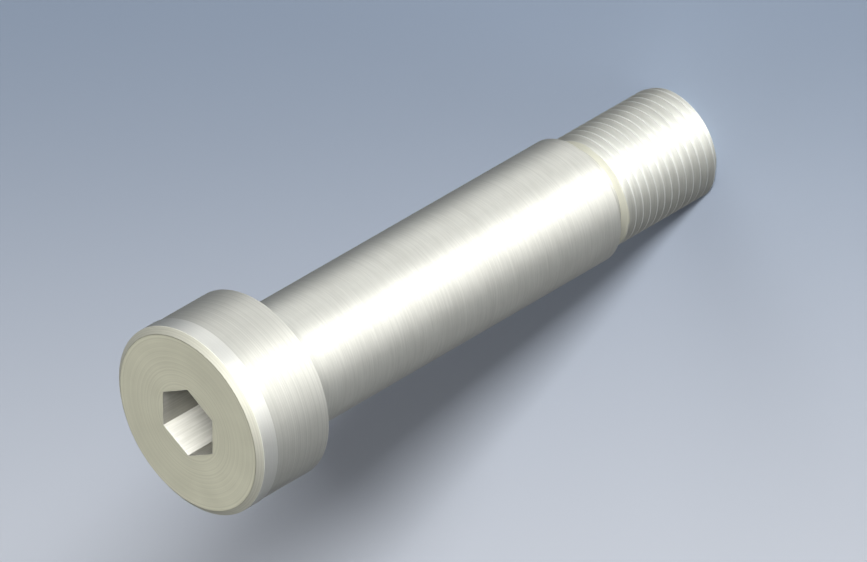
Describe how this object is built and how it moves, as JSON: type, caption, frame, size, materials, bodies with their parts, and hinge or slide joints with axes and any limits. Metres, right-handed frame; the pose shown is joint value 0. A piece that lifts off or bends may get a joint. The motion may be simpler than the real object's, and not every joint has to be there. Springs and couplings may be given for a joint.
{
  "type": "shoulder bolt",
  "caption": "Socket head shoulder bolt: a round ground shoulder that carries a turning or sliding part, with a head that keeps it on and a threaded end that screws into the frame.",
  "frame": {"origin": "on the bolt's axis, in the plane of the shoulder's end face, which seats round the tapped hole", "axes": "+Z along the axis towards the head; two of the six socket flats are square to X and two corners of the socket lie on the Y axis; stored standing on the flat tip, head up"},
  "size_m": [0.03, 0.03, 0.101],
  "materials": {
    "bolt_steel": "bright steel, turned on the head, ground on the shoulder and cut on the thread"
  },
  "bodies": {
    "root": {"shoulder_bolt": "bolt_steel"}
  },
  "joints": []
}
